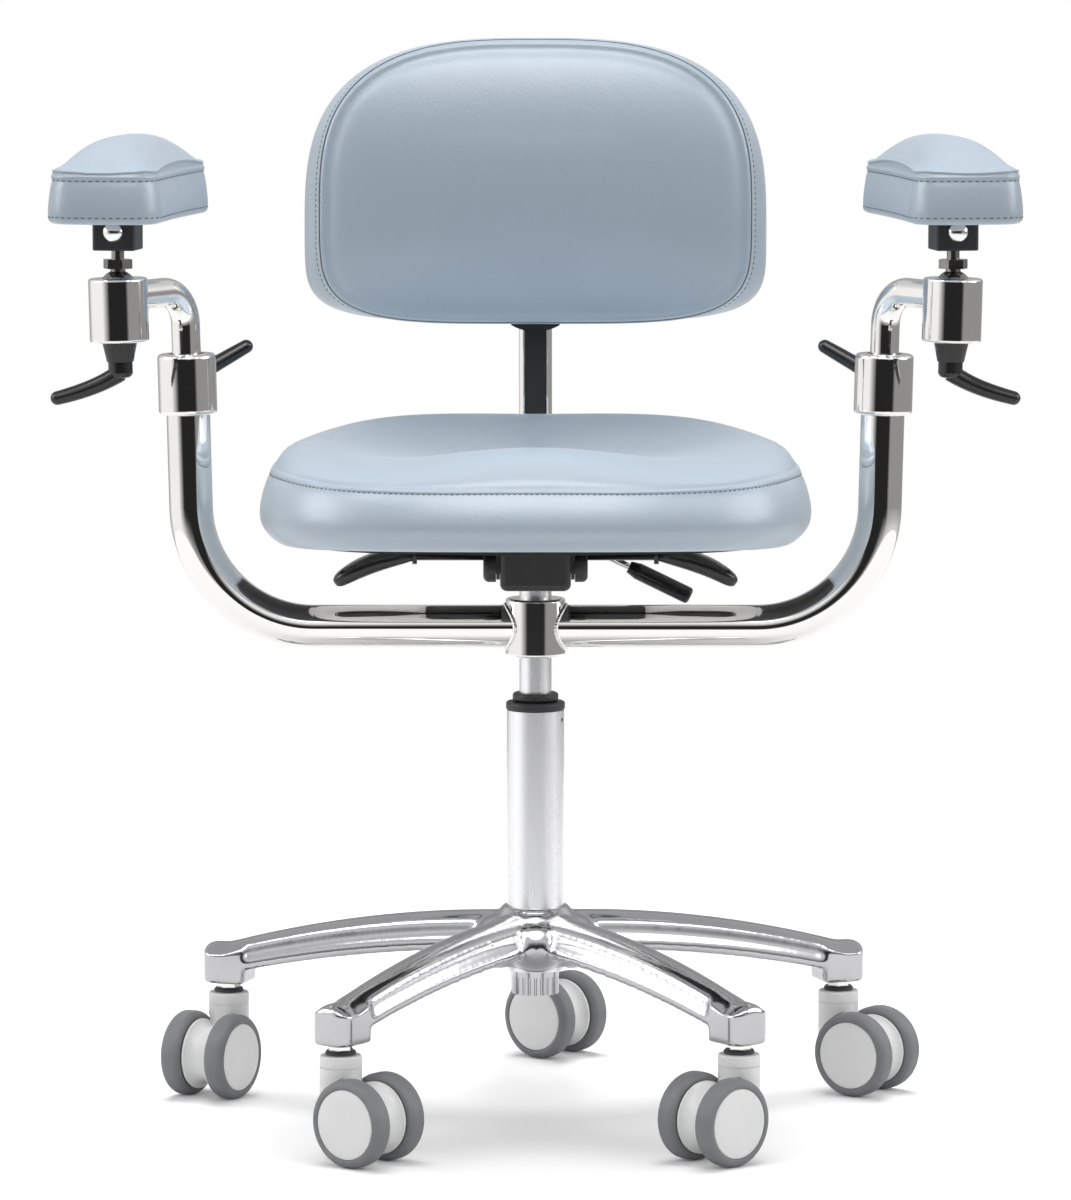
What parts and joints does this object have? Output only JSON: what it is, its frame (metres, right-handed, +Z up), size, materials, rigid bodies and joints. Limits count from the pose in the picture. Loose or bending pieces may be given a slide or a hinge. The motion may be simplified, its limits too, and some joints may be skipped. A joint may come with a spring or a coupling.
{
  "type": "microscope chair",
  "caption": "Wheeled microscope chair with a contoured seat, a height-adjustable back rest and ball-jointed arm pads on cranked chrome arms over a gas lift.",
  "frame": {"origin": "on the gas lift's swivel axis at floor level", "axes": "+Z up along the swivel axis; the sitter faces -Y; +X is to the sitter's left"},
  "size_m": [0.833, 0.6107, 0.9341],
  "materials": {
    "upholstery": "soft satin artificial leather",
    "chrome": "polished chrome plate",
    "satin_steel": "satin steel tube",
    "cast_aluminium": "polished casting",
    "black_plastic": "fine matte",
    "gloss_black": "gloss moulding",
    "castor_grey": "light grey moulding with mid-grey soft tread",
    "inner_steel": "bare steel"
  },
  "bodies": {
    "base": {"base_star": "cast_aluminium", "column_tube": "satin_steel", "column_guide": "black_plastic", "buffer_ring": "black_plastic", "column_foot": "cast_aluminium", "castor_stems": "chrome", "castor_seals": "black_plastic", "thrust_bearing": "inner_steel"},
    "piston": {"piston_rod": "inner_steel"},
    "lift": {"lift_tube": "satin_steel", "mechanism_housing": "black_plastic", "mechanism_cover": "black_plastic", "tilt_axle": "black_plastic", "back_axle": "inner_steel", "arm_hub": "chrome", "arm_tube_left": "chrome", "arm_tube_right": "chrome"},
    "height_lever": {"height_lever": "gloss_black"},
    "tilt_lever": {"tilt_lever": "gloss_black"},
    "back_lever": {"back_lever_rod": "chrome", "back_lever_grip": "gloss_black"},
    "seat": {"seat_plate": "black_plastic", "seat_pan": "black_plastic", "seat_cushion": "upholstery"},
    "back_frame": {"back_post": "chrome", "back_post_strip": "black_plastic"},
    "back_rest": {"back_carriage": "black_plastic", "back_shell": "black_plastic", "back_cushion": "upholstery"},
    "arm_bush_left": {"arm_bush_left": "black_plastic"},
    "arm_crank_left": {"arm_crank_left": "chrome"},
    "ball_cup_left": {"ball_cup_left": "black_plastic"},
    "ball_stud_left": {"ball_stud_left": "chrome"},
    "ball_lever_left": {"ball_lever_left": "gloss_black"},
    "height_clamp_left": {"height_clamp_left": "gloss_black"},
    "arm_pad_left": {"pad_block_left": "black_plastic", "arm_pad_left": "upholstery"},
    "arm_bush_right": {"arm_bush_right": "black_plastic"},
    "arm_crank_right": {"arm_crank_right": "chrome"},
    "ball_cup_right": {"ball_cup_right": "black_plastic"},
    "ball_stud_right": {"ball_stud_right": "chrome"},
    "ball_lever_right": {"ball_lever_right": "gloss_black"},
    "height_clamp_right": {"height_clamp_right": "gloss_black"},
    "arm_pad_right": {"pad_block_right": "black_plastic", "arm_pad_right": "upholstery"},
    "castor_rear": {"castor_rear_housing": "castor_grey"},
    "castor_rear_wheel_left": {"castor_rear_wheel_left": "castor_grey"},
    "castor_rear_wheel_right": {"castor_rear_wheel_right": "castor_grey"},
    "castor_left": {"castor_left_housing": "castor_grey"},
    "castor_left_wheel_left": {"castor_left_wheel_left": "castor_grey"},
    "castor_left_wheel_right": {"castor_left_wheel_right": "castor_grey"},
    "castor_front_left": {"castor_front_left_housing": "castor_grey"},
    "castor_front_left_wheel_left": {"castor_front_left_wheel_left": "castor_grey"},
    "castor_front_left_wheel_right": {"castor_front_left_wheel_right": "castor_grey"},
    "castor_front_right": {"castor_front_right_housing": "castor_grey"},
    "castor_front_right_wheel_left": {"castor_front_right_wheel_left": "castor_grey"},
    "castor_front_right_wheel_right": {"castor_front_right_wheel_right": "castor_grey"},
    "castor_right": {"castor_right_housing": "castor_grey"},
    "castor_right_wheel_left": {"castor_right_wheel_left": "castor_grey"},
    "castor_right_wheel_right": {"castor_right_wheel_right": "castor_grey"}
  },
  "joints": [
    {"name": "seat_swivel", "type": "hinge", "parent": "base", "child": "piston", "pos_m": [0, 0, 0.138], "axis": [0, 0, 1], "continuous": true},
    {"name": "seat_height", "type": "slide", "parent": "piston", "child": "lift", "axis": [0, 0, 1], "range_m": [-0.03, 0.1]},
    {"name": "seat_tilt", "type": "hinge", "parent": "lift", "child": "seat", "pos_m": [0, -0.06, 0.485], "axis": [1, 0, 0], "range_deg": [0, 8]},
    {"name": "back_tilt", "type": "hinge", "parent": "lift", "child": "back_frame", "pos_m": [0, 0.072, 0.478], "axis": [-1, 0, 0], "range_deg": [-3, 12]},
    {"name": "back_height", "type": "slide", "parent": "back_frame", "child": "back_rest", "axis": [0, 0, 1], "range_m": [-0.03, 0.05]},
    {"name": "height_lever_pull", "type": "hinge", "parent": "lift", "child": "height_lever", "pos_m": [-0.1, -0.024, 0.492], "axis": [1, 0, 0], "range_deg": [-8, 12], "stiffness_Nm_per_rad": 1.5},
    {"name": "tilt_lever_pull", "type": "hinge", "parent": "lift", "child": "tilt_lever", "pos_m": [0.1, -0.024, 0.492], "axis": [1, 0, 0], "range_deg": [-8, 12], "stiffness_Nm_per_rad": 1.5},
    {"name": "back_lever_pull", "type": "hinge", "parent": "lift", "child": "back_lever", "pos_m": [0.03, 0.046, 0.492], "axis": [1, 0, 0], "range_deg": [-10, 14], "stiffness_Nm_per_rad": 1.5},
    {"name": "arm_turn_left", "type": "hinge", "parent": "lift", "child": "arm_bush_left", "pos_m": [-0.30284, 0, 0.63905], "axis": [-0.0244, 0, 0.9997], "range_deg": [-40, 40]},
    {"name": "arm_height_left", "type": "slide", "parent": "arm_bush_left", "child": "arm_crank_left", "axis": [-0.0244, 0, 0.9997], "range_m": [-0.02, 0.05]},
    {"name": "ball_turn_left", "type": "hinge", "parent": "arm_crank_left", "child": "ball_cup_left", "pos_m": [-0.35777, -0.07536, 0.72674], "axis": [-0.0244, 0, 0.9997], "range_deg": [-90, 90]},
    {"name": "ball_tilt_left", "type": "hinge", "parent": "ball_cup_left", "child": "ball_stud_left", "pos_m": [-0.35777, -0.07536, 0.72674], "axis": [0.9877, -0.1564, 0], "range_deg": [-15, 15]},
    {"name": "pad_turn_left", "type": "hinge", "parent": "ball_stud_left", "child": "arm_pad_left", "pos_m": [-0.35777, -0.07536, 0.72674], "axis": [0, 0, 1], "range_deg": [-90, 90]},
    {"name": "height_clamp_left", "type": "hinge", "parent": "lift", "child": "height_clamp_left", "pos_m": [-0.30284, 0.03, 0.63905], "axis": [0, 1, 0], "range_deg": [-50, 50]},
    {"name": "ball_clamp_left", "type": "hinge", "parent": "arm_crank_left", "child": "ball_lever_left", "pos_m": [-0.35665, -0.07536, 0.68075], "axis": [-0.0244, 0, 0.9997], "range_deg": [-60, 60]},
    {"name": "arm_turn_right", "type": "hinge", "parent": "lift", "child": "arm_bush_right", "pos_m": [0.30284, 0, 0.63905], "axis": [0.0244, 0, 0.9997], "range_deg": [-40, 40]},
    {"name": "arm_height_right", "type": "slide", "parent": "arm_bush_right", "child": "arm_crank_right", "axis": [0.0244, 0, 0.9997], "range_m": [-0.02, 0.05]},
    {"name": "ball_turn_right", "type": "hinge", "parent": "arm_crank_right", "child": "ball_cup_right", "pos_m": [0.35777, -0.07536, 0.72674], "axis": [0.0244, 0, 0.9997], "range_deg": [-90, 90]},
    {"name": "ball_tilt_right", "type": "hinge", "parent": "ball_cup_right", "child": "ball_stud_right", "pos_m": [0.35777, -0.07536, 0.72674], "axis": [0.9877, 0.1564, 0], "range_deg": [-15, 15]},
    {"name": "pad_turn_right", "type": "hinge", "parent": "ball_stud_right", "child": "arm_pad_right", "pos_m": [0.35777, -0.07536, 0.72674], "axis": [0, 0, 1], "range_deg": [-90, 90]},
    {"name": "height_clamp_right", "type": "hinge", "parent": "lift", "child": "height_clamp_right", "pos_m": [0.30284, 0.03, 0.63905], "axis": [0, 1, 0], "range_deg": [-50, 50]},
    {"name": "ball_clamp_right", "type": "hinge", "parent": "arm_crank_right", "child": "ball_lever_right", "pos_m": [0.35665, -0.07536, 0.68075], "axis": [0.0244, 0, 0.9997], "range_deg": [-60, 60]},
    {"name": "castor_rear_swivel", "type": "hinge", "parent": "base", "child": "castor_rear", "pos_m": [-0.00469, 0.28596, 0.09], "axis": [0, 0, 1], "continuous": true},
    {"name": "castor_rear_roll_left", "type": "hinge", "parent": "castor_rear", "child": "castor_rear_wheel_left", "pos_m": [0.01867, 0.26636, 0.0375], "axis": [0.6428, 0.766, 0], "continuous": true},
    {"name": "castor_rear_roll_right", "type": "hinge", "parent": "castor_rear", "child": "castor_rear_wheel_right", "pos_m": [0.01867, 0.26636, 0.0375], "axis": [0.6428, 0.766, 0], "continuous": true},
    {"name": "castor_left_swivel", "type": "hinge", "parent": "base", "child": "castor_left", "pos_m": [-0.27342, 0.0839, 0.09], "axis": [0, 0, 1], "continuous": true},
    {"name": "castor_left_roll_left", "type": "hinge", "parent": "castor_left", "child": "castor_left_wheel_left", "pos_m": [-0.2882, 0.05723, 0.0375], "axis": [0.8746, -0.4848, 0], "continuous": true},
    {"name": "castor_left_roll_right", "type": "hinge", "parent": "castor_left", "child": "castor_left_wheel_right", "pos_m": [-0.2882, 0.05723, 0.0375], "axis": [0.8746, -0.4848, 0], "continuous": true},
    {"name": "castor_front_left_swivel", "type": "hinge", "parent": "base", "child": "castor_front_left", "pos_m": [-0.16429, -0.23411, 0.09], "axis": [0, 0, 1], "continuous": true},
    {"name": "castor_front_left_roll_left", "type": "hinge", "parent": "castor_front_left", "child": "castor_front_left_wheel_left", "pos_m": [-0.14042, -0.25309, 0.0375], "axis": [0.6225, 0.7826, 0], "continuous": true},
    {"name": "castor_front_left_roll_right", "type": "hinge", "parent": "castor_front_left", "child": "castor_front_left_wheel_right", "pos_m": [-0.14042, -0.25309, 0.0375], "axis": [0.6225, 0.7826, 0], "continuous": true},
    {"name": "castor_front_right_swivel", "type": "hinge", "parent": "base", "child": "castor_front_right", "pos_m": [0.17188, -0.22859, 0.09], "axis": [0, 0, 1], "continuous": true},
    {"name": "castor_front_right_roll_left", "type": "hinge", "parent": "castor_front_right", "child": "castor_front_right_wheel_left", "pos_m": [0.14957, -0.24939, 0.0375], "axis": [0.682, -0.7314, 0], "continuous": true},
    {"name": "castor_front_right_roll_right", "type": "hinge", "parent": "castor_front_right", "child": "castor_front_right_wheel_right", "pos_m": [0.14957, -0.24939, 0.0375], "axis": [0.682, -0.7314, 0], "continuous": true},
    {"name": "castor_right_swivel", "type": "hinge", "parent": "base", "child": "castor_right", "pos_m": [0.27052, 0.09283, 0.09], "axis": [0, 0, 1], "continuous": true},
    {"name": "castor_right_roll_left", "type": "hinge", "parent": "castor_right", "child": "castor_right_wheel_left", "pos_m": [0.2955, 0.07534, 0.0375], "axis": [0.5736, 0.8192, 0], "continuous": true},
    {"name": "castor_right_roll_right", "type": "hinge", "parent": "castor_right", "child": "castor_right_wheel_right", "pos_m": [0.2955, 0.07534, 0.0375], "axis": [0.5736, 0.8192, 0], "continuous": true}
  ]
}
